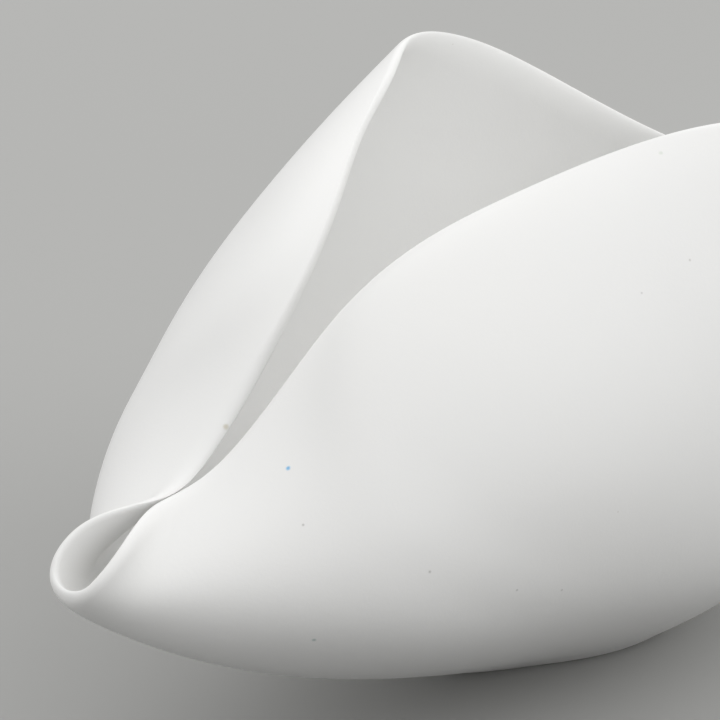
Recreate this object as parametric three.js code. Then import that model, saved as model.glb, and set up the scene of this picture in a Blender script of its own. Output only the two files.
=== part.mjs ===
// Sculptural bowl of thin unglazed porcelain: a sheet folded to a pinched spout in front,
// two raised wing corners and a rounded back, resting on a small flat foot.
// Millimetres, +Z up. The spout points to -X. The object is symmetric about the plane Y = 0.
// The origin is on the flat face of the foot.
import * as THREE from "three";

// Overall size
const LENGTH = 326.3;         // from the front of the lip to the farthest point at the back
const WIDTH = 177.7;         // across the widest part of the belly
const HEIGHT = 180.6;         // from the foot to the wing corners

// Wall, rim and seams
const WALL = 3.6;            // thickness of the wall
const FLOOR = 4.0;           // thickness of the base slab in its middle
const FLOOR_BEND = 0.8;      // how far the floor follows the wall down before it levels off
const RIM_RISE = 1.3;        // height of the rim above the last full thickness of the wall
const RIM_ROLL = 2.5;        // how far the rolled edge reaches down on the inner side
const CRISP = 2 / 3;         // 1 would make the outer edge of the rim round, 0 square
const SEAM = 0.3;            // gap left where two slabs are luted together
const BASE_EDGE = 0.16;      // share of the way up the wall where the base slab ends
const CORNER = 0.56;         // share of the way round where front and back slab meet

// The shape follows five curves that run round the bowl, one above the other.
// A station is [share, x, y, z]. The share goes from 0 at the spout to 1 at the back,
// and the other side of the bowl is the mirror image. The stations are drawn for the
// overall size below, and are stretched from it to the size above.
const DRAWN_LENGTH = 326.3;
const DRAWN_WIDTH = 177.7;
const DRAWN_HEIGHT = 180.6;
const FOOT = [
  [0.00, -52, 0, 0],         // front of the foot, pointed towards the spout
  [0.25, -36, 13, 0],
  [0.50, -4, 27, 0],         // widest part of the foot
  [0.75, 33, 21, 0],
  [1.00, 48, 0, 0],          // back of the foot
];
const KEEL = [
  [0.00, -141, 0, 33],       // underside, rising towards the spout
  [0.12, -134, 42, 45],
  [0.28, -92, 63, 48],
  [0.55, -10, 72, 40],
  [0.80, 61, 46, 31],
  [1.00, 84, 0, 29],
];
const BELLY = [
  [0.00, -188, 0, 59],       // underside of the spout
  [0.09, -184, 18, 67],
  [0.20, -159, 42, 83],      // bulge of the front
  [0.40, -117, 67, 94],
  [0.56, -47, 88, 95],       // widest part of the bowl
  [0.72, 51, 76, 77],
  [0.86, 95, 42, 66],
  [1.00, 110, 0, 64],
];
const SHOULDER = [
  [0.00, -205, 0, 72],       // throat of the spout
  [0.06, -201, 10, 77],
  [0.14, -177.5, 12.5, 86],  // waist behind the spout
  [0.24, -140, 17, 113],
  [0.38, -115, 28, 139],     // cheek beside the slot
  [0.56, -36, 77, 148],      // below the wing corner
  [0.72, 51, 77, 123],
  [0.86, 101, 43, 102],
  [1.00, 117, 0, 97],        // farthest point at the back
];
const RIM = [
  [0.00, -209, 0, 77.5],     // front of the lip
  [0.035, -206, 9.2, 81],
  [0.08, -193, 10.8, 90.5],  // widest part of the small loop
  [0.13, -174.5, 4, 95.3],
  [0.19, -152.5, 3.9, 103.3],  // pinch, where the two edges almost meet
  [0.27, -109.5, 9, 138],    // narrow slot
  [0.37, -64.5, 31.5, 165],
  [0.47, -28.5, 51.5, 177.5],
  [0.56, -5.5, 66.5, 180],   // wing corner, the highest point
  [0.69, 39.5, 72.5, 166],
  [0.84, 89, 49, 134.5],
  [1.00, 110, 0, 121],       // middle of the back edge
];
const CURVES = [FOOT, KEEL, BELLY, SHOULDER, RIM];
const HEIGHTS = [0, 0.25, 0.5, 0.75, 1];    // share of the way up the wall of each curve

// How finely the surfaces are divided
const FRONT_STEPS = 72;      // round the folded slab, closer together at the spout
const BACK_STEPS = 32;
const WALL_RINGS = 17;       // up the wall
const BASE_RINGS = 5;
const FLOOR_RINGS = 8;       // across the inner floor, from the seam to its middle
const LIP_ARC = 5;           // points on the rounded edge of the rim

const CERAMIC = { color: 0xeeeeec, roughness: 0.82, metalness: 0 };

// A cubic spline through the given values, as a function of t that gives [value, slope].
// The ends are either "flat" (slope zero) or "free" (no bending).
function spline(knots, values, ends) {
  const n = knots.length;
  const diag = [];
  const upper = [];
  const right = [];
  for (let i = 0; i < n; i++) {
    const before = i > 0 ? knots[i] - knots[i - 1] : 0;
    const after = i < n - 1 ? knots[i + 1] - knots[i] : 0;
    const slopeBefore = i > 0 ? (values[i] - values[i - 1]) / before : 0;
    const slopeAfter = i < n - 1 ? (values[i + 1] - values[i]) / after : 0;
    const atEnd = i === 0 || i === n - 1;
    if (atEnd && ends === "free") {
      diag.push(1);
      upper.push(0);
      right.push(0);
    } else {
      diag.push(2 * (before + after));
      upper.push(after);
      right.push(6 * (slopeAfter - slopeBefore));
    }
  }
  // Elimination down the band, then back up it.
  for (let i = 1; i < n; i++) {
    const lower = i === n - 1 && ends === "free" ? 0 : knots[i] - knots[i - 1];
    const factor = lower / diag[i - 1];
    diag[i] -= factor * upper[i - 1];
    right[i] -= factor * right[i - 1];
  }
  const bend = new Array(n).fill(0);
  for (let i = n - 1; i >= 0; i--) {
    const next = i < n - 1 ? upper[i] * bend[i + 1] : 0;
    bend[i] = (right[i] - next) / diag[i];
  }
  return (t) => {
    let i = 0;
    while (i < n - 2 && t > knots[i + 1]) {
      i += 1;
    }
    const h = knots[i + 1] - knots[i];
    const a = (knots[i + 1] - t) / h;
    const b = (t - knots[i]) / h;
    const curved = ((a ** 3 - a) * bend[i] + (b ** 3 - b) * bend[i + 1]) * h * h / 6;
    const value = a * values[i] + b * values[i + 1] + curved;
    const chord = (values[i + 1] - values[i]) / h;
    const tilt = ((1 - 3 * a * a) * bend[i] + (3 * b * b - 1) * bend[i + 1]) * h / 6;
    return [value, chord + tilt];
  };
}

// One curve round the bowl. X and Z run level through the plane of symmetry, Y crosses it.
function roundCurve(stations) {
  const shares = stations.map((s) => s[0]);
  const along = stations.map((s) => (s[1] * LENGTH) / DRAWN_LENGTH);
  const across = stations.map((s) => (s[2] * WIDTH) / DRAWN_WIDTH);
  const upwards = stations.map((s) => (s[3] * HEIGHT) / DRAWN_HEIGHT);
  const alongX = spline(shares, along, "flat");
  const alongY = spline(shares, across, "free");
  const alongZ = spline(shares, upwards, "flat");
  return (u) => {
    // u runs on past 1 to 2 on the mirrored side; negative u is the mirrored side too
    const mirrored = u < 0 || u > 1;
    const share = u < 0 ? -u : u > 1 ? 2 - u : u;
    const [x, dx] = alongX(share);
    const [y, dy] = alongY(share);
    const [z, dz] = alongZ(share);
    const side = mirrored ? -1 : 1;
    const point = new THREE.Vector3(x, side * y, z);
    const slope = new THREE.Vector3(side * dx, dy, side * dz);
    return [point, slope];
  };
}

const curves = CURVES.map(roundCurve);

// A line up the wall at u: a function of v that gives the outer point, its normal
// and the direction along the wall both ways.
function meridian(u) {
  const pairs = curves.map((curve) => curve(u));
  const axes = ["x", "y", "z"];
  const points = axes.map((axis) => spline(HEIGHTS, pairs.map((p) => p[0][axis]), "free"));
  const slopes = axes.map((axis) => spline(HEIGHTS, pairs.map((p) => p[1][axis]), "free"));
  return (v) => {
    const at = points.map((f) => f(v));
    const point = new THREE.Vector3(at[0][0], at[1][0], at[2][0]);
    const up = new THREE.Vector3(at[0][1], at[1][1], at[2][1]);
    const along = new THREE.Vector3(slopes[0](v)[0], slopes[1](v)[0], slopes[2](v)[0]);
    const normal = new THREE.Vector3().crossVectors(up, along).normalize();
    return { point, normal, up, along };
  };
}

// Moves a point in the face of the wall to leave room for a seam: first round the bowl,
// square to the line up the wall, then up the wall, square to the line round the bowl.
function seamShift(here, aside) {
  const round = new THREE.Vector3().crossVectors(here.normal, here.up).normalize();
  const rise = new THREE.Vector3().crossVectors(here.along, here.normal).normalize();
  return round.multiplyScalar(aside[0]).addScaledVector(rise, aside[1]);
}

// Outer and inner point at v, moved by `aside` millimetres along the wall.
function wallPair(line, v, aside) {
  const here = line(v);
  const outer = here.point.clone().add(seamShift(here, aside));
  const inner = outer.clone().addScaledVector(here.normal, -WALL);
  return [outer, inner];
}

// The edge of the rim as [across, up] pairs in millimetres, from the outer to the inner
// side. The outer edge is crisp, and from the top it rolls off softly to the inner side.
function rimProfile() {
  const half = WALL / 2;
  const profile = [];
  for (let k = 1; k <= LIP_ARC; k++) {
    const angle = (Math.PI * k) / (LIP_ARC + 1);
    const side = Math.cos(angle);
    const top = Math.sin(angle);
    if (side > 0) {
      profile.push([half * side ** CRISP, RIM_RISE * top ** CRISP]);
    } else {
      profile.push([half * side, RIM_RISE - (RIM_RISE + RIM_ROLL) * (1 - top)]);
    }
  }
  return profile;
}

// The share v that lies the given distance below the rim on this line.
function shareBelowRim(line, distance) {
  return 1 - distance / line(1).up.length();
}

// The points of the rim on one line up the wall.
function lipArc(line, aside) {
  return rimProfile().map(([across, up]) => {
    const here = line(shareBelowRim(line, Math.max(0, -up)));
    const point = here.point.clone().add(seamShift(here, [aside, 0]));
    point.addScaledVector(here.normal, across - WALL / 2);
    return point.addScaledVector(here.up.clone().normalize(), Math.max(0, up));
  });
}

// Two triangles for a field of four points. The mirrored half takes the other diagonal,
// so that the facets are symmetric too.
function facePair(a, b, c, d, mirrored) {
  return mirrored ? [[a, b, d], [b, c, d]] : [[a, c, d], [a, b, c]];
}

// A closed body from loops of points with the same count, one after another, with both
// ends filled. A loop is long and thin: point j lies opposite point count - 1 - j.
function bodyFromLoops(loops) {
  const count = loops[0].length;
  const vertices = loops.flat();
  const faces = [];
  const last = loops.length - 1;
  for (let i = 0; i < last; i++) {
    const here = i * count;
    const next = here + count;
    const mirrored = i >= last / 2;
    for (let j = 0; j < count; j++) {
      const k = (j + 1) % count;
      faces.push(...facePair(here + j, here + k, next + k, next + j, mirrored));
    }
  }
  const end = last * count;
  for (let j = 0; j < count / 2 - 1; j++) {
    const far = count - 1 - j;
    faces.push([j, far, j + 1]);
    faces.push([j + 1, far, far - 1]);
    faces.push([end + j, end + j + 1, end + far]);
    faces.push([end + j + 1, end + far - 1, end + far]);
  }
  return { vertices, faces };
}

function toMesh(name, body) {
  const positions = new Float32Array(body.vertices.flatMap((p) => [p.x, p.y, p.z]));
  const geometry = new THREE.BufferGeometry();
  geometry.setAttribute("position", new THREE.BufferAttribute(positions, 3));
  geometry.setIndex(body.faces.filter((f) => new Set(f).size === 3).flat());
  geometry.computeVertexNormals();
  const mesh = new THREE.Mesh(geometry, new THREE.MeshStandardMaterial(CERAMIC));
  mesh.name = name;
  return mesh;
}

// One slab of the wall between two shares u, from the base seam up to the rounded rim.
function wallSlab(name, shares) {
  const loops = shares.map((u, i) => {
    const line = meridian(u);
    const round = i === 0 ? SEAM / 2 : i === shares.length - 1 ? -SEAM / 2 : 0;
    const innerTop = shareBelowRim(line, RIM_ROLL);
    const outer = [];
    const inner = [];
    for (let k = 0; k <= WALL_RINGS; k++) {
      const aside = [round, k === 0 ? SEAM / 2 : 0];
      const outerShare = BASE_EDGE + (1 - BASE_EDGE) * (k / WALL_RINGS);
      const innerShare = BASE_EDGE + (innerTop - BASE_EDGE) * (k / WALL_RINGS);
      outer.push(wallPair(line, outerShare, aside)[0]);
      inner.push(wallPair(line, innerShare, aside)[1]);
    }
    return [...outer, ...lipArc(line, round), ...inner.reverse()];
  });
  return toMesh(name, bodyFromLoops(loops));
}

// Shares for the folded slab crowd together at the spout, where the loop is tight.
const frontShares = [];
for (let i = 0; i <= FRONT_STEPS; i++) {
  const q = (2 * i) / FRONT_STEPS - 1;
  frontShares.push(CORNER * q * (0.5 + 0.5 * Math.abs(q)));
}
const backShares = [];
for (let i = 0; i <= BACK_STEPS; i++) {
  backShares.push(CORNER + ((2 - 2 * CORNER) * i) / BACK_STEPS);
}
// The base slab follows both, so that its edge runs level with theirs.
const baseShares = [...frontShares, ...backShares.slice(1, -1)];

const SMALL = 0.005;         // a small step of v, to find a direction

// A point on a smooth dish between the seat, where the floor leaves the wall downwards,
// and the level middle: a cubic with a given place and direction at both ends.
function floorPoint(seat, down, middle, t) {
  const level = new THREE.Vector3(middle.x - seat.x, middle.y - seat.y, 0);
  const reach = level.length();
  const point = new THREE.Vector3();
  point.addScaledVector(seat, 2 * t ** 3 - 3 * t ** 2 + 1);
  point.addScaledVector(middle, 3 * t ** 2 - 2 * t ** 3);
  point.addScaledVector(down, reach * FLOOR_BEND * (t ** 3 - 2 * t ** 2 + t));
  return point.addScaledVector(level, t ** 3 - t ** 2);
}

// The base slab: flat foot, lower part of the wall and the inner floor.
function baseSlab(name) {
  const vertices = [];
  const rings = [];
  const addRing = (points) => {
    rings.push(vertices.length);
    vertices.push(...points);
  };
  const lines = baseShares.map(meridian);
  const count = lines.length;
  for (let k = 0; k <= BASE_RINGS; k++) {
    const v = (BASE_EDGE * k) / BASE_RINGS;
    const aside = [0, k === BASE_RINGS ? -SEAM / 2 : 0];
    addRing(lines.map((line) => wallPair(line, v, aside)[0]));
  }
  // The inner floor runs out of the wall without a corner and levels off to its middle.
  const seats = lines.map((line) => wallPair(line, BASE_EDGE, [0, -SEAM / 2])[1]);
  const downs = lines.map((line) => {
    const above = wallPair(line, BASE_EDGE + SMALL, [0, 0])[1];
    return wallPair(line, BASE_EDGE, [0, 0])[1].sub(above).normalize();
  });
  const alongSeat = seats.map((p) => p.x);
  const middle = new THREE.Vector3(
    (Math.min(...alongSeat) + Math.max(...alongSeat)) / 4, 0, FLOOR,
  );
  for (let k = 0; k < FLOOR_RINGS; k++) {
    addRing(seats.map((seat, i) => floorPoint(seat, downs[i], middle, k / FLOOR_RINGS)));
  }
  const faces = [];
  for (let r = 0; r < rings.length - 1; r++) {
    for (let i = 0; i < count; i++) {
      const j = (i + 1) % count;
      const here = rings[r];
      const next = rings[r + 1];
      const mirrored = baseShares[i] < 0 || baseShares[i] >= 1;
      faces.push(...facePair(here + i, next + i, next + j, here + j, mirrored));
    }
  }
  const footCentre = vertices.length;
  vertices.push(new THREE.Vector3(0, 0, 0));
  const floorCentre = vertices.length;
  vertices.push(middle);
  const lastRing = rings[rings.length - 1];
  for (let i = 0; i < count; i++) {
    const j = (i + 1) % count;
    faces.push([footCentre, i, j]);
    faces.push([floorCentre, lastRing + j, lastRing + i]);
  }
  return toMesh(name, { vertices, faces });
}

const bowl = new THREE.Group();
bowl.name = "sculptural_bowl";
bowl.add(baseSlab("base_slab"));
bowl.add(wallSlab("folded_wall", frontShares));
bowl.add(wallSlab("back_wall", backShares));

export default bowl;
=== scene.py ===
# %% [markdown]
# # A thin porcelain bowl, folded like a leaf
# The real object is one piece of unglazed porcelain: a thin sheet that is folded up from a
# small flat foot, pinched to a spout in front, drawn up to two raised corners and rounded
# at the back. It has no joints and no second material. The work is therefore all in one
# surface and its finish, and each part of this lesson builds one layer of that.
# The measured frame comes first. It is the plain solid version of the bowl, and everything
# made here keeps to its place and size.

# %% Load the measured frame
import math

import bpy
import numpy as np
from mathutils import Matrix, Vector


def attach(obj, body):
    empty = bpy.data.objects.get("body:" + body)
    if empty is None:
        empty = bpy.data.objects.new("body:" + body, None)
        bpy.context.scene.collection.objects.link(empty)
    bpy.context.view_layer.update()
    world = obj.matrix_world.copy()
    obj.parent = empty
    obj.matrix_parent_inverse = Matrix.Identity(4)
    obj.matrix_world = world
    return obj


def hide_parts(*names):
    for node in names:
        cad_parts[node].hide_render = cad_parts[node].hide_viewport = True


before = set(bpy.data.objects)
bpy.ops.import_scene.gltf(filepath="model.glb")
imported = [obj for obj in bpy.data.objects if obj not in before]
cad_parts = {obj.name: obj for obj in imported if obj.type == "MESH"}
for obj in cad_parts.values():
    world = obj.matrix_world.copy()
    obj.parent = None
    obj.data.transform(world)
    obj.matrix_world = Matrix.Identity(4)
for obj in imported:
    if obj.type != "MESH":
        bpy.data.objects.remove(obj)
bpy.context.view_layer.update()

MM = 0.001   # the shape is written in millimetres, Blender works in metres
print("solids in the frame:", sorted(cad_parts))

# %% [markdown]
# ## The five guide curves
# A free form like this could be sculpted, or drawn as a few Bezier patches. Here it is a
# loft: five closed curves run round the bowl, one above the other, and the wall passes
# smoothly through all five. That keeps every number a place on the real bowl, and the
# solid version can be built from the same numbers.
# Each station holds a share of the way round, from 0 at the spout to 1 at the back, and
# then x, y and z. The bowl is symmetric, so only one side is written down.

# %% Stations of the guide curves
FOOT = [
    (0.00, -52, 0, 0),          # front of the foot, pointed towards the spout
    (0.25, -36, 13, 0),
    (0.50, -4, 27, 0),          # widest part of the foot
    (0.75, 33, 21, 0),
    (1.00, 48, 0, 0),           # back of the foot
]
KEEL = [
    (0.00, -141, 0, 33),        # underside, rising towards the spout
    (0.12, -134, 42, 45),
    (0.28, -92, 63, 48),
    (0.55, -10, 72, 40),
    (0.80, 61, 46, 31),
    (1.00, 84, 0, 29),
]
BELLY = [
    (0.00, -188, 0, 59),        # underside of the spout
    (0.09, -184, 18, 67),
    (0.20, -159, 42, 83),       # bulge of the front
    (0.40, -117, 67, 94),
    (0.56, -47, 88, 95),        # widest part of the bowl
    (0.72, 51, 76, 77),
    (0.86, 95, 42, 66),
    (1.00, 110, 0, 64),
]
SHOULDER = [
    (0.00, -205, 0, 72),        # throat of the spout
    (0.06, -201, 10, 77),
    (0.14, -177.5, 12.5, 86),   # waist behind the spout
    (0.24, -140, 17, 113),
    (0.38, -115, 28, 139),      # cheek beside the slot
    (0.56, -36, 77, 148),       # below the wing corner
    (0.72, 51, 77, 123),
    (0.86, 101, 43, 102),
    (1.00, 117, 0, 97),         # farthest point at the back
]
RIM = [
    (0.00, -209, 0, 77.5),      # front of the lip
    (0.035, -206, 9.2, 81),
    (0.08, -193, 10.8, 90.5),   # small loop, near its widest
    (0.13, -174.5, 4.0, 95.3),  # pinch: the two edges almost meet between this station
    (0.19, -152.5, 3.9, 103.3), # and this one
    (0.27, -109.5, 9, 138),     # narrow slot
    (0.37, -64.5, 31.5, 165),
    (0.47, -28.5, 51.5, 177.5),
    (0.56, -5.5, 66.5, 180),    # wing corner, the highest point
    (0.69, 39.5, 72.5, 166),
    (0.84, 89, 49, 134.5),
    (1.00, 110, 0, 121),        # middle of the back edge
]
CURVES = [FOOT, KEEL, BELLY, SHOULDER, RIM]
HEIGHTS = [0, 0.25, 0.5, 0.75, 1]   # share of the way up the wall of each curve
for name, curve in zip(("foot", "keel", "belly", "shoulder", "rim"), CURVES):
    print(f"{name}: {len(curve)} stations, widest {2 * max(s[2] for s in curve)} mm")

# %% [markdown]
# ## A smooth line through the stations
# Blender's own curves have no simple way to ask for a point at an exact share, so the
# lesson uses the classic cubic spline. Its points depend on the stations in a plain,
# linear way: one matrix gives the places and a second one the slopes. Both matrices are
# found once and then work for x, y and z alike.
# An end is "flat" where the curve crosses the plane of symmetry without a kink, and
# "free" where nothing bends it.

# %% Cubic spline as two matrices
def spline_matrices(knots, at, ends):
    """Matrices that turn values at the knots into values and slopes at the places `at`."""
    knots = np.asarray(knots, float)
    at = np.asarray(at, float)
    n = len(knots)
    gaps = np.diff(knots)
    system = np.zeros((n, n))
    right = np.zeros((n, n))
    for i in range(n):
        if i in (0, n - 1) and ends == "free":
            system[i, i] = 1
            continue
        if i > 0:
            system[i, i - 1] += gaps[i - 1]
            system[i, i] += 2 * gaps[i - 1]
            right[i, i - 1] += 6 / gaps[i - 1]
            right[i, i] -= 6 / gaps[i - 1]
        if i < n - 1:
            system[i, i + 1] += gaps[i]
            system[i, i] += 2 * gaps[i]
            right[i, i + 1] += 6 / gaps[i]
            right[i, i] -= 6 / gaps[i]
    bend = np.linalg.solve(system, right)
    part = np.clip(np.searchsorted(knots, at, side="left") - 1, 0, n - 2)
    h = gaps[part][:, None]
    b = ((at - knots[part])[:, None]) / h
    a = 1 - b
    low = np.eye(n)[part]
    high = np.eye(n)[part + 1]
    bend_low = bend[part]
    bend_high = bend[part + 1]
    value = a * low + b * high
    value += ((a**3 - a) * bend_low + (b**3 - b) * bend_high) * h * h / 6
    slope = (high - low) / h
    slope += ((1 - 3 * a * a) * bend_low + (3 * b * b - 1) * bend_high) * h / 6
    return value, slope


def round_curve(stations, shares):
    """Points and slopes of one guide curve; a negative share lies on the mirrored side."""
    table = np.array(stations, float)
    side = np.where(shares < 0, -1.0, 1.0)
    places = np.abs(shares)
    flat_value, flat_slope = spline_matrices(table[:, 0], places, "flat")
    free_value, free_slope = spline_matrices(table[:, 0], places, "free")
    x, dx = flat_value @ table[:, 1], side * (flat_slope @ table[:, 1])
    y, dy = side * (free_value @ table[:, 2]), free_slope @ table[:, 2]
    z, dz = flat_value @ table[:, 3], side * (flat_slope @ table[:, 3])
    return np.stack([x, y, z], -1), np.stack([dx, dy, dz], -1)


tip, _ = round_curve(RIM, np.array([0.0]))
print("front of the lip at", tip[0], "mm")

# %% [markdown]
# ## Columns round the bowl
# The wall is a net of columns and rows. Evenly spaced columns would waste points at the
# calm back and be too coarse for the fold of the spout, which is only a few millimetres
# across. The columns therefore crowd together towards the spout.

# %% Columns through the guide curves
COLUMNS = 400           # columns round the bowl
SPOUT_CROWDING = 0.45   # spacing of the columns at the spout, against an even one

steps = np.linspace(-1, 1, COLUMNS + 1)[1:]
shares = steps * (SPOUT_CROWDING + (1 - SPOUT_CROWDING) * steps**2)
guides = [round_curve(stations, shares) for stations in CURVES]
guide_points = np.stack([points for points, _ in guides])
guide_slopes = np.stack([slopes for _, slopes in guides])
print("columns:", COLUMNS, "closest at the spout:",
      round(float(np.linalg.norm(np.diff(guide_points[-1], axis=0), axis=1).min()), 2), "mm")

# %% [markdown]
# ## The outer and the inner wall
# Up the wall the same spline runs through the five curves. The two slopes of the surface,
# along and up, give its normal, and the inner side lies one wall thickness behind the
# outer one. A Solidify modifier could do that too, but a wall made from its own normals
# keeps its thickness exactly, also in the tight fold of the spout.

# %% Rows up the wall
WALL = 3.6          # thickness of the wall
WALL_ROWS = 88      # rows up each side of the wall
BASE_EDGE = 0.16    # share of the way up where the inner wall runs out into the floor


def unit(vectors):
    """The same directions with a length of 1."""
    return vectors / np.linalg.norm(vectors, axis=-1, keepdims=True)


def wall_frames(heights):
    """Outer points, normals and upward slopes for rows of heights, one for each column."""
    heights = np.asarray(heights, float)
    value, slope = spline_matrices(HEIGHTS, heights.ravel(), "free")
    value = value.reshape(*heights.shape, len(HEIGHTS))
    slope = slope.reshape(*heights.shape, len(HEIGHTS))
    points = np.einsum("hik,kij->hij", value, guide_points)
    along = np.einsum("hik,kij->hij", value, guide_slopes)
    upwards = np.einsum("hik,kij->hij", slope, guide_points)
    return points, unit(np.cross(upwards, along)), upwards


rim_pace = np.linalg.norm(wall_frames(np.ones((1, COLUMNS)))[2][0], axis=-1)
print("one unit of height at the rim:", round(float(rim_pace.min())), "to",
      round(float(rim_pace.max())), "mm")


def below_rim(distance):
    """Height, column by column, that lies this many millimetres below the rim."""
    return 1 - distance / rim_pace


# %% [markdown]
# ## The rim
# The cut edge of the real sheet is sponged soft, but not alike all round. Round the loop
# of the spout and over the wings the outside runs over it into the inside without a line.
# Along the slot it is rolled over from the outside only, and its inner edge stays crisp.
# Round the back it thins out to a narrow ridge. A Bevel modifier makes both sides of an
# edge alike and is the same everywhere, so the section is drawn here as its own short
# curve. Two quarters of a superellipse, one from each side, meet at the crest, and their
# sizes change on the way round.

# %% Rim sizes, column by column
RIM_ROWS = 24        # rows over the edge
RIM_RISE = 1.2       # height of the crest above the guide curve of the rim
RIM_SIZES = [        # share round, crest in from the outside, roll outside, roll inside
    (0.00, 2.2, 3.6, 2.0),     # loop of the spout: a full soft roll
    (0.06, 2.3, 3.8, 1.8),
    (0.14, 3.2, 5.2, 0.9),     # along the slot: rolled over from the outside
    (0.30, 3.2, 5.2, 0.9),
    (0.44, 2.2, 3.8, 2.2),     # wing corners: a full soft roll
    (0.56, 1.6, 2.4, 5.0),
    (0.70, 1.0, 1.2, 11.0),    # round the back: thinned out to a narrow ridge
    (1.00, 1.0, 1.2, 11.0),
]
CRISP = 0.95         # 1 makes the outer quarter round, 0 square
SLOPE = 1.05         # 1 makes the inner quarter round, 2 straight


def round_the_rim(size):
    """One size of the table for each column, led smoothly from row to row."""
    table = np.array(RIM_SIZES)
    along = np.interp(np.abs(shares), table[:, 0], np.arange(len(table)))
    row = np.minimum(along.astype(int), len(table) - 2)
    way = along - row
    way = way * way * (3 - 2 * way)
    return table[row, size] * (1 - way) + table[row + 1, size] * way


crest, outer_roll, inner_roll = [round_the_rim(size) for size in (1, 2, 3)]
print("crest:", crest.min(), "to", crest.max(), "mm in from the outside")

# %% Wall and rim rows
even_steps = np.linspace(0, 1, WALL_ROWS + 1)[:, None]
outer, _, _ = wall_frames(even_steps * below_rim(outer_roll))
section = []
for angle in np.pi * np.arange(1, RIM_ROWS) / RIM_ROWS:
    side, top = abs(math.cos(angle)), math.sin(angle)
    if angle < math.pi / 2:
        section.append((crest * (side**CRISP - 1),
                        (RIM_RISE + outer_roll) * top**CRISP - outer_roll))
    else:
        section.append((-crest - (WALL - crest) * side**SLOPE,
                        RIM_RISE - (RIM_RISE + inner_roll) * (1 - top**SLOPE)))
across = np.array([s[0] for s in section])[..., None]
rise = np.array([s[1] for s in section])
rim_points, rim_normals, rim_upwards = wall_frames(below_rim(np.maximum(0, -rise)))
rim = rim_points + rim_normals * across + unit(rim_upwards) * np.maximum(0, rise)[..., None]

inner_heights = BASE_EDGE + (below_rim(inner_roll) - BASE_EDGE) * even_steps
inner_points, inner_normals, _ = wall_frames(inner_heights)
inner = inner_points - inner_normals * WALL
print("rim:", len(section), "rows, highest point", round(float(rim[..., 2].max()), 1), "mm")

# %% [markdown]
# ## The foot and the floor
# The foot is flat with a softly rubbed edge, and the inner floor runs out of the wall
# without a corner. A quadratic Bezier arc rounds the edge of the foot. A Hermite curve,
# which takes a place and a direction at both ends, draws the floor from the wall down to
# its level middle.

# %% Foot rows
FOOT_ROUND = 1.6                        # how far the edge of the foot is rubbed round
EDGE_STEPS = (0, 0.2, 0.4, 0.6, 0.8)    # rows over that edge, as shares of its arc
FACE_STEPS = (0.25, 0.5, 0.75, 0.9)     # rows of the flat face, from its middle outwards

corner = outer[0]
foot_middle = np.array([0.0, 0.0, 0.0])
from_corner = np.linalg.norm(outer - corner, axis=-1)
first_row = int(np.argmax(from_corner.min(axis=1) > FOOT_ROUND))
foot_start = corner + unit(foot_middle - corner) * FOOT_ROUND
foot_end = outer[first_row]
foot_edge = np.stack([
    (1 - t) ** 2 * foot_start + 2 * t * (1 - t) * corner + t * t * foot_end
    for t in EDGE_STEPS
])
foot_face = np.stack([foot_middle + (foot_start - foot_middle) * t for t in FACE_STEPS])
print("foot:", [round(float(np.ptp(corner[:, axis])), 1) for axis in (0, 1)], "mm")

# %% Floor rows
FLOOR = 4.0         # thickness of the floor in its middle
FLOOR_ROWS = 26     # rows across the floor
FLOOR_BEND = 0.8    # how far the floor follows the wall down before it levels off

seat = inner[0]
down = -unit(inner[1] - inner[0])
seat_middle = (seat[:, 0].min() + seat[:, 0].max()) / 2
floor_middle = np.array([seat_middle / 2, 0.0, FLOOR])   # drawn towards the foot's middle
level = (floor_middle - seat) * [1, 1, 0]
reach = np.linalg.norm(level, axis=-1, keepdims=True)
floor_rows = []
for t in np.linspace(0, 1, FLOOR_ROWS + 1)[1:-1]:
    row = (2 * t**3 - 3 * t**2 + 1) * seat + (3 * t**2 - 2 * t**3) * floor_middle
    row = row + (t**3 - 2 * t**2 + t) * down * reach * FLOOR_BEND
    row = row + (t**3 - t**2) * level
    floor_rows.append(row)
print("lowest point of the inner floor:",
      round(float(min(row[:, 2].min() for row in floor_rows)), 2), "mm")

# %% [markdown]
# ## One closed skin
# All rows go into one mesh, from the middle of the foot, up the outside, over the rim,
# down the inside and across the floor to its middle. Neighbouring rows are joined by
# quads, and the two middles are closed by fans, so the skin has no seam and no hole.

# %% Join the rows to a mesh
rows = np.concatenate([
    foot_face,
    foot_edge,
    outer[first_row:],
    rim,
    inner[::-1],
    np.stack(floor_rows),
])
vertices = [tuple(foot_middle)] + [tuple(p) for p in rows.reshape(-1, 3)]
vertices.append(tuple(floor_middle))
faces = []
last = 1 + (len(rows) - 1) * COLUMNS
for i in range(COLUMNS):
    j = (i + 1) % COLUMNS
    faces.append((0, 1 + i, 1 + j))
    faces.append((last + i, last + COLUMNS, last + j))
    for here in range(1, last, COLUMNS):
        faces.append((here + i, here + COLUMNS + i, here + COLUMNS + j, here + j))

skin = bpy.data.meshes.new("porcelain_bowl")
skin.from_pydata([tuple(MM * c for c in p) for p in vertices], [], faces)
skin.validate()
skin.update()
bowl = bpy.data.objects.new("porcelain_bowl", skin)
bpy.context.scene.collection.objects.link(bowl)
volume = sum(p.area * p.normal.dot(p.center) / 3 for p in skin.polygons)
print("volume in cm3:", round(volume * 1e6, 1), "faces:", len(skin.polygons))

# %% [markdown]
# ## The touch of the hand
# A sheet that is pressed and scraped by hand is never quite even: broad, very shallow
# swells remain, and they show where the light grazes. They could be sculpted, but they
# follow a simple rule, so a Geometry Nodes tree makes them: each point moves back along
# its normal, into the clay, by an amount of noise. Nothing moves outwards, so the bowl
# stays inside its measured frame, and the swells fade out at the foot, which has to stand
# flat.

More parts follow.
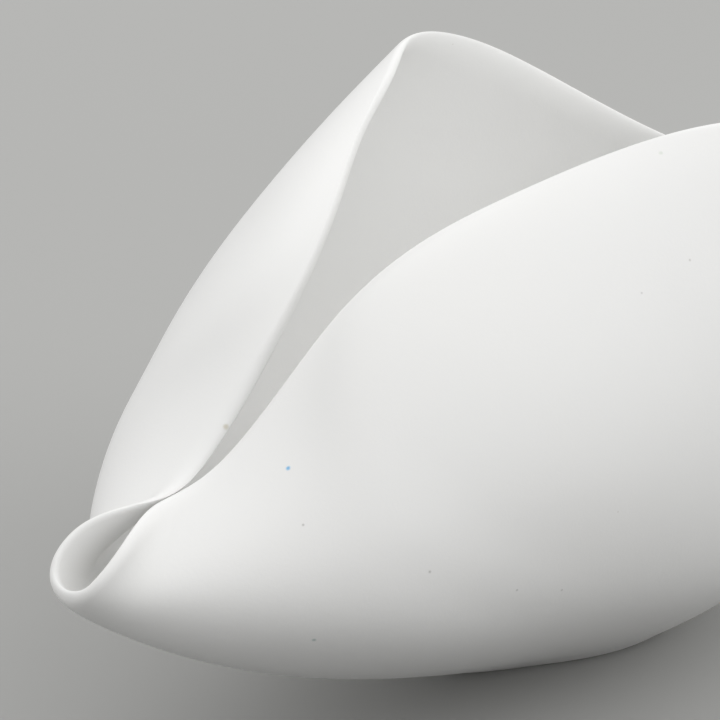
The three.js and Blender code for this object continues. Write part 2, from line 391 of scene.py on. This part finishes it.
# %% Geometry Nodes tree for the pressed surface
SWELL_DEPTH = 0.00022     # deepest swell, in metres
SWELL_SPACING = 0.045     # from one swell to the next
SKIM = 0.00012            # what the smoothing takes off everywhere
FOOT_FADE = 0.004         # height above the foot where the swells are at full depth
SWELL_SEED = 7


def add_socket(tree, name, kind, value):
    socket = tree.interface.new_socket(name, in_out="INPUT", socket_type=kind)
    if value is not None:
        socket.default_value = value
    return socket.identifier


pressing = bpy.data.node_groups.new("hand_pressed_surface", "GeometryNodeTree")
pressing.is_modifier = True
pressing.interface.new_socket("Sheet", in_out="INPUT", socket_type="NodeSocketGeometry")
sockets = {
    "Depth": add_socket(pressing, "Depth", "NodeSocketFloat", 0.0),
    "Spacing": add_socket(pressing, "Spacing", "NodeSocketFloat", 0.05),
    "Skim": add_socket(pressing, "Skim", "NodeSocketFloat", 0.0),
    "Foot Fade": add_socket(pressing, "Foot Fade", "NodeSocketFloat", 0.004),
    "Seed": add_socket(pressing, "Seed", "NodeSocketInt", 0),
    "Clay": add_socket(pressing, "Clay", "NodeSocketMaterial", None),
}
pressing.interface.new_socket("Sheet", in_out="OUTPUT", socket_type="NodeSocketGeometry")
print("inputs of the tree:", ", ".join(sockets))


# %% Wire the tree
def press_node(kind, inputs, **settings):
    """A node of the tree; an input is a plain value or another node's output."""
    node = pressing.nodes.new(kind)
    for name, value in settings.items():
        setattr(node, name, value)
    for name, value in inputs.items():
        if isinstance(value, bpy.types.NodeSocket):
            pressing.links.new(value, node.inputs[name])
        else:
            node.inputs[name].default_value = value
    return node


def press_math(operation, first, second):
    return press_node("ShaderNodeMath", {0: first, 1: second}, operation=operation).outputs[0]


given = pressing.nodes.new("NodeGroupInput").outputs
result = pressing.nodes.new("NodeGroupOutput")
place = press_node("GeometryNodeInputPosition", {}).outputs[0]
normal = press_node("GeometryNodeInputNormal", {}).outputs[0]
height = press_node("ShaderNodeSeparateXYZ", {0: place}).outputs["Z"]

swells = press_node("ShaderNodeTexNoise", {
    "Vector": place, "W": given["Seed"], "Detail": 2.0, "Roughness": 0.45,
    "Scale": press_math("DIVIDE", 1.0, given["Spacing"]),
}, noise_dimensions="4D")
pressed = press_math("ADD", press_math("MULTIPLY", swells.outputs[0], given["Depth"]),
                     given["Skim"])
fade = press_node("ShaderNodeClamp", {0: press_math("DIVIDE", height, given["Foot Fade"])})
inwards = press_math("MULTIPLY", press_math("MULTIPLY", pressed, fade.outputs[0]), -1.0)
shift = press_node("ShaderNodeVectorMath", {0: normal, "Scale": inwards}, operation="SCALE")
moved = press_node("GeometryNodeSetPosition",
                   {"Geometry": given["Sheet"], "Offset": shift.outputs[0]})
smooth = press_node("GeometryNodeSetShadeSmooth", {"Geometry": moved.outputs[0]})
real = press_node("GeometryNodeRealizeInstances", {"Geometry": smooth.outputs[0]})
dressed = press_node("GeometryNodeSetMaterial",
                     {"Geometry": real.outputs[0], "Material": given["Clay"]})
pressing.links.new(dressed.outputs[0], result.inputs["Sheet"])
print("nodes in the tree:", len(pressing.nodes))

# %% [markdown]
# ## Unglazed porcelain
# Biscuit porcelain is matt and close-grained, a little warm, and light sinks into it
# before it comes back. A flat white would look like plastic. A Principled shader with
# high roughness gives the matt body, and noise at two sizes breaks up the evenness:
# broad clouds in the colour, finer ones in the roughness. Light that bounces about inside
# the hollow does the rest, because the clay sends back almost nine tenths of it.
# All patterns read Object coordinates, so they stay where they are on the bowl.

# %% Porcelain body
porcelain = bpy.data.materials.new("biscuit_porcelain")
porcelain.use_nodes = True
nodes = porcelain.node_tree.nodes
links = porcelain.node_tree.links
shader = nodes["Principled BSDF"]
shader.inputs["IOR"].default_value = 1.5
on_bowl = nodes.new("ShaderNodeTexCoord").outputs["Object"]


def noise(scale, detail, rough):
    node = nodes.new("ShaderNodeTexNoise")
    node.inputs["Scale"].default_value = scale
    node.inputs["Detail"].default_value = detail
    node.inputs["Roughness"].default_value = rough
    links.new(on_bowl, node.inputs["Vector"])
    return node.outputs[0]


def remap(source, start, end, low, high):
    """Spread a value between start and end over the range from low to high."""
    node = nodes.new("ShaderNodeMapRange")
    for name, value in (("From Min", start), ("From Max", end),
                        ("To Min", low), ("To Max", high)):
        node.inputs[name].default_value = value
    links.new(source, node.inputs["Value"])
    return node.outputs["Result"]


def tint(factor, under, over):
    """Mix two colours; each is a colour value or a socket."""
    node = nodes.new("ShaderNodeMix")
    node.data_type = "RGBA"
    links.new(factor, node.inputs["Factor"])
    for name, colour in (("A", under), ("B", over)):
        slot = [s for s in node.inputs if s.name == name and s.type == "RGBA"][0]
        if isinstance(colour, bpy.types.NodeSocket):
            links.new(colour, slot)
        else:
            slot.default_value = (*colour, 1)
    return [s for s in node.outputs if s.type == "RGBA"][0]


COOL_CLAY = (0.86, 0.86, 0.85)
WARM_CLAY = (0.885, 0.883, 0.869)
CLOUDS = (9, 3, 0.5)          # scale, detail and roughness of the noise in the colour
FINE_CLOUDS = (60, 4, 0.6)    # the same three of the noise in the roughness
NOISE_SPAN = (0.3, 0.7)       # the middle of the noise, spread over the whole range
MATT = (0.56, 0.70)           # roughness of the clay, lowest and highest

colour = tint(remap(noise(*CLOUDS), *NOISE_SPAN, 0, 1), COOL_CLAY, WARM_CLAY)
links.new(remap(noise(*FINE_CLOUDS), *NOISE_SPAN, *MATT), shader.inputs["Roughness"])
print("clay colours:", COOL_CLAY, WARM_CLAY)

# %% [markdown]
# ## Specks in the clay
# Even washed porcelain keeps a few stray grains of iron, which fire to grey and brown
# pinheads. They could be modelled one by one, but they are colour, not shape. A Voronoi
# texture cuts space into cells of about a centimetre; a random value for each cell lets
# only a few of them hold a speck, and the distance from the cell's middle draws it.
# A few larger ones sit at chosen places, each with its own colour.

# %% Scattered specks
SPECK_CELL = 0.011        # metres from one possible speck to the next
SPECK_RADIUS = 0.00035    # metres
SPECK_CORE = 0.3          # share of the radius that has the full colour
SPECK_SHARE = 0.16        # share of the cells that hold a speck
SPECK_FADE = 0.01         # share of further cells that hold a fainter one
SPECK_STRENGTH = 0.45
GREY_GRAIN = (0.30, 0.29, 0.28)
BROWN_GRAIN = (0.42, 0.36, 0.26)

cells = nodes.new("ShaderNodeTexVoronoi")
cells.inputs["Scale"].default_value = 1 / SPECK_CELL
links.new(on_bowl, cells.inputs["Vector"])
pick = nodes.new("ShaderNodeSeparateColor")
links.new(cells.outputs["Color"], pick.inputs["Color"])
spot = remap(cells.outputs["Distance"], SPECK_CORE * SPECK_RADIUS / SPECK_CELL,
             SPECK_RADIUS / SPECK_CELL, 1, 0)
chosen = remap(pick.outputs["Red"], 1 - SPECK_SHARE - SPECK_FADE, 1 - SPECK_SHARE,
               0, SPECK_STRENGTH)
speck = nodes.new("ShaderNodeMath")
speck.operation = "MULTIPLY"
links.new(spot, speck.inputs[0])
links.new(chosen, speck.inputs[1])
speck_colour = tint(pick.outputs["Green"], GREY_GRAIN, BROWN_GRAIN)
colour = tint(speck.outputs[0], colour, speck_colour)
print("specks: one cell in", round(1 / SPECK_SHARE))

# %% Specks at chosen places
STRAY_CORE = 0.35  # share of the radius that has the full colour
STRAY_SPECKS = [   # place in mm, radius in mm, strength, colour
    ((-148.6, -25.1, 104.1), 0.85, 0.80, (0.08, 0.44, 0.80)),   # blue, on the near fold
    ((-144.2, 3.9, 106.7), 1.10, 0.45, (0.46, 0.40, 0.22)),     # brown, on the far rim
    ((-155.0, -37.2, 93.1), 0.50, 0.55, (0.38, 0.37, 0.35)),
    ((-131.6, -62.0, 79.5), 0.55, 0.50, (0.36, 0.35, 0.33)),
    ((-105.3, -70.3, 68.0), 0.50, 0.50, (0.36, 0.36, 0.35)),
    ((-89.8, -73.3, 63.8), 0.50, 0.45, (0.40, 0.39, 0.37)),
    ((-40.3, -75.0, 148.9), 0.50, 0.45, (0.42, 0.40, 0.36)),
    ((-57.6, -72.2, 142.9), 0.45, 0.40, (0.42, 0.41, 0.40)),
    ((-156.2, -42.3, 61.1), 0.80, 0.50, (0.25, 0.38, 0.36)),    # grey-green, underneath
    ((-31.6, -56.4, 174.1), 0.80, 0.35, (0.52, 0.60, 0.48)),    # faint green, near crest
]


def stray_speck(under, place, radius, strength, paint):
    away = nodes.new("ShaderNodeVectorMath")
    away.operation = "DISTANCE"
    links.new(on_bowl, away.inputs[0])
    away.inputs[1].default_value = [c * MM for c in place]
    inside = remap(away.outputs["Value"], STRAY_CORE * radius * MM, radius * MM, strength, 0)
    return tint(inside, under, paint)


for place, radius, strength, paint in STRAY_SPECKS:
    colour = stray_speck(colour, place, radius, strength, paint)
links.new(colour, shader.inputs["Base Color"])
print("larger specks:", len(STRAY_SPECKS))

# %% [markdown]
# ## The grain
# Close up, biscuit porcelain has the tooth of very fine sandpaper, with a few pinholes
# where the sponge has dragged a grain. Both are far finer than the mesh, so bump is the
# right tool: one for the tooth and one for shallow marks of the sponge.

# %% Bump for the tooth and the sponge marks
SPONGE_NOISE = (260, 2, 0.5)     # scale, detail and roughness
SPONGE_DEPTH = 0.0002            # metres
SPONGE_STRENGTH = 0.10
TOOTH_NOISE = (1100, 3, 0.65)
TOOTH_DEPTH = 0.00015
TOOTH_STRENGTH = 0.22


def bump(height, depth, strength, over=None):
    node = nodes.new("ShaderNodeBump")
    node.inputs["Distance"].default_value = depth
    node.inputs["Strength"].default_value = strength
    links.new(height, node.inputs["Height"])
    if over is not None:
        links.new(over, node.inputs["Normal"])
    return node.outputs["Normal"]


sponge_marks = bump(noise(*SPONGE_NOISE), SPONGE_DEPTH, SPONGE_STRENGTH)
tooth = bump(noise(*TOOTH_NOISE), TOOTH_DEPTH, TOOTH_STRENGTH, over=sponge_marks)
links.new(tooth, shader.inputs["Normal"])
print("nodes in the porcelain:", len(nodes))

# %% [markdown]
# ## Press the sheet and keep the result
# The tree runs as a modifier. Its inputs are set by the identifiers of their sockets, and
# the result is then copied to a plain mesh, which is what goes on to the frame. The
# modifier has done its work and is taken off.

# %% Run the tree once
modifier = bowl.modifiers.new("hand_pressed_surface", "NODES")
modifier.node_group = pressing
modifier[sockets["Depth"]] = SWELL_DEPTH
modifier[sockets["Spacing"]] = SWELL_SPACING
modifier[sockets["Skim"]] = SKIM
modifier[sockets["Foot Fade"]] = FOOT_FADE
modifier[sockets["Seed"]] = SWELL_SEED
modifier[sockets["Clay"]] = porcelain
graph = bpy.context.evaluated_depsgraph_get()
pressed_skin = bpy.data.meshes.new_from_object(bowl.evaluated_get(graph))
bowl.modifiers.clear()
moves = [(a.co - b.co).length for a, b in zip(pressed_skin.vertices, skin.vertices)]
bowl.data = pressed_skin
bpy.data.meshes.remove(skin)
pressed_skin.name = "porcelain_bowl"
print("pressed in by", round(min(moves) / MM, 2), "to", round(max(moves) / MM, 2), "mm",
      "materials:", [m.name for m in pressed_skin.materials])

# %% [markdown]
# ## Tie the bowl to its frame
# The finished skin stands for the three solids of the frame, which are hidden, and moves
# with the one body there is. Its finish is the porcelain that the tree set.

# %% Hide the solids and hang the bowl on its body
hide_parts("base_slab", "folded_wall", "back_wall")
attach(bowl, "root")
print("solids that the bowl stands for:", len(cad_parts))

# %% [markdown]
# ## The floor
# The bowl stands on a plain floor that runs on as far as the eye can see. Its pale grey is
# darker than the clay, so that the rim stands clear of it. So pale a floor would throw
# too much light up under the bowl. Light Path tells what is seen from what only lights:
# the floor shows its pale grey, and sends up the light of a darker one.

# %% Floor
FLOOR_GREY = (0.40, 0.40, 0.39)      # as it is seen
FLOOR_BOUNCE = (0.22, 0.22, 0.215)   # as it lights the bowl from below
FLOOR_ROUGHNESS = 0.9
FLOOR_HALF = 15.0                    # metres from the middle to the edge
FLOOR_DROP = 0.0002                  # keeps the foot clear of the floor


def seen_factor(tree):
    """1 for rays that show the surface itself, 0 for rays that only carry its light."""
    path = tree.nodes.new("ShaderNodeLightPath")
    factor = path.outputs["Is Camera Ray"]
    for ray in ("Is Glossy Ray", "Is Transmission Ray"):
        either = tree.nodes.new("ShaderNodeMath")
        either.operation = "MAXIMUM"
        tree.links.new(factor, either.inputs[0])
        tree.links.new(path.outputs[ray], either.inputs[1])
        factor = either.outputs[0]
    return factor


floor_mesh = bpy.data.meshes.new("floor")
floor_mesh.from_pydata([(x * FLOOR_HALF, y * FLOOR_HALF, 0)
                        for x, y in ((-1, -1), (1, -1), (1, 1), (-1, 1))],
                       [], [(0, 1, 2, 3)])
floor = bpy.data.objects.new("floor", floor_mesh)
bpy.context.scene.collection.objects.link(floor)
floor.location.z = -FLOOR_DROP
floor_paint = bpy.data.materials.new("floor_paint")
floor_paint.use_nodes = True
floor_tree = floor_paint.node_tree
floor_shader = floor_tree.nodes["Principled BSDF"]
floor_shader.inputs["Roughness"].default_value = FLOOR_ROUGHNESS
floor_mix = floor_tree.nodes.new("ShaderNodeMixRGB")
floor_mix.inputs["Color1"].default_value = (*FLOOR_BOUNCE, 1)
floor_mix.inputs["Color2"].default_value = (*FLOOR_GREY, 1)
floor_tree.links.new(seen_factor(floor_tree), floor_mix.inputs["Fac"])
floor_tree.links.new(floor_mix.outputs[0], floor_shader.inputs["Base Color"])
floor_mesh.materials.append(floor_paint)
print("floor grey:", FLOOR_GREY)

# %% [markdown]
# ## Soft lamps
# Most of the light is even and comes from the white sky. Large lamps near the bowl add
# shape without hard shadows: the strongest, on the right, lifts the near flank, a high one
# looks down into the hollow, and others overhead, on the left and behind light the far
# wing and the inside of the spout.

# %% Lamps and world
def soft_lamp(name, place, aim, size, power):
    data = bpy.data.lights.new(name, "AREA")
    data.shape = "SQUARE"
    data.size = size
    data.energy = power
    lamp = bpy.data.objects.new(name, data)
    bpy.context.scene.collection.objects.link(lamp)
    lamp.location = place
    lamp.rotation_euler = (Vector(aim) - Vector(place)).to_track_quat("-Z", "Y").to_euler()


BOWL_MIDDLE = (0, 0, 0.08)   # what every lamp looks at
LAMPS = [                    # name, place and width in metres, power in watts
    ("overhead_lamp", (-0.25, 0.0, 1.5), 2.0, 2),
    ("left_lamp", (-1.6, 0.6, 0.9), 1.6, 5.5),
    ("right_lamp", (0.9, -1.5, 0.9), 1.6, 11),
    ("high_lamp", (0.35, -1.0, 1.4), 1.2, 3.5),
    ("back_lamp", (0.8, 1.2, 1.2), 1.6, 8),
]
for name, place, width, power in LAMPS:
    soft_lamp(name, place, BOWL_MIDDLE, width, power)

SKY_LIGHT = 0.725                                      # strength of the white sky
SKY_GREY = [SKY_LIGHT * part for part in FLOOR_GREY]   # what is seen past the floor's edge
world = bpy.data.worlds.new("studio")
bpy.context.scene.world = world
world.use_nodes = True
sky = world.node_tree
light = sky.nodes["Background"]
light.inputs["Color"].default_value = (1, 1, 1, 1)
light.inputs["Strength"].default_value = SKY_LIGHT
seen = sky.nodes.new("ShaderNodeBackground")
seen.inputs["Color"].default_value = (*SKY_GREY, 1)
both = sky.nodes.new("ShaderNodeMixShader")
sky.links.new(seen_factor(sky), both.inputs[0])
sky.links.new(light.outputs[0], both.inputs[1])
sky.links.new(seen.outputs[0], both.inputs[2])
sky.links.new(both.outputs[0], sky.nodes["World Output"].inputs["Surface"])
print("lamps:", len(bpy.data.lights))

# %% [markdown]
# ## The camera
# The photograph looks down at the spout from its left, with a long lens that keeps the
# bowl free of distortion. The place and the two angles were found by matching the
# outline of the bowl.

# %% Camera
CAMERA_PLACE = (-713.2, -601.7, 443.2)   # mm
CAMERA_TURN = 45.78                      # degrees from +Y towards +X
CAMERA_DIP = 20.88                       # degrees below the horizon
CAMERA_LENS = 161.5                      # mm
SENSOR_WIDTH = 36                        # mm
CLIP_START = 0.01                        # metres

turn, dip = math.radians(CAMERA_TURN), math.radians(CAMERA_DIP)
right = Vector((math.cos(turn), -math.sin(turn), 0))
ahead = Vector((math.sin(turn) * math.cos(dip), math.cos(turn) * math.cos(dip),
                -math.sin(dip)))
above = right.cross(ahead)
camera_data = bpy.data.cameras.new("camera")
camera_data.lens = CAMERA_LENS
camera_data.sensor_width = SENSOR_WIDTH
camera_data.clip_start = CLIP_START
camera = bpy.data.objects.new("camera", camera_data)
bpy.context.scene.collection.objects.link(camera)
axes = Matrix((right, above, -ahead)).transposed()
camera.matrix_world = Matrix.Translation(MM * Vector(CAMERA_PLACE)) @ axes.to_4x4()
bpy.context.scene.camera = camera
bpy.context.scene.view_settings.view_transform = "Standard"
print("camera looks along", [round(c, 2) for c in ahead])
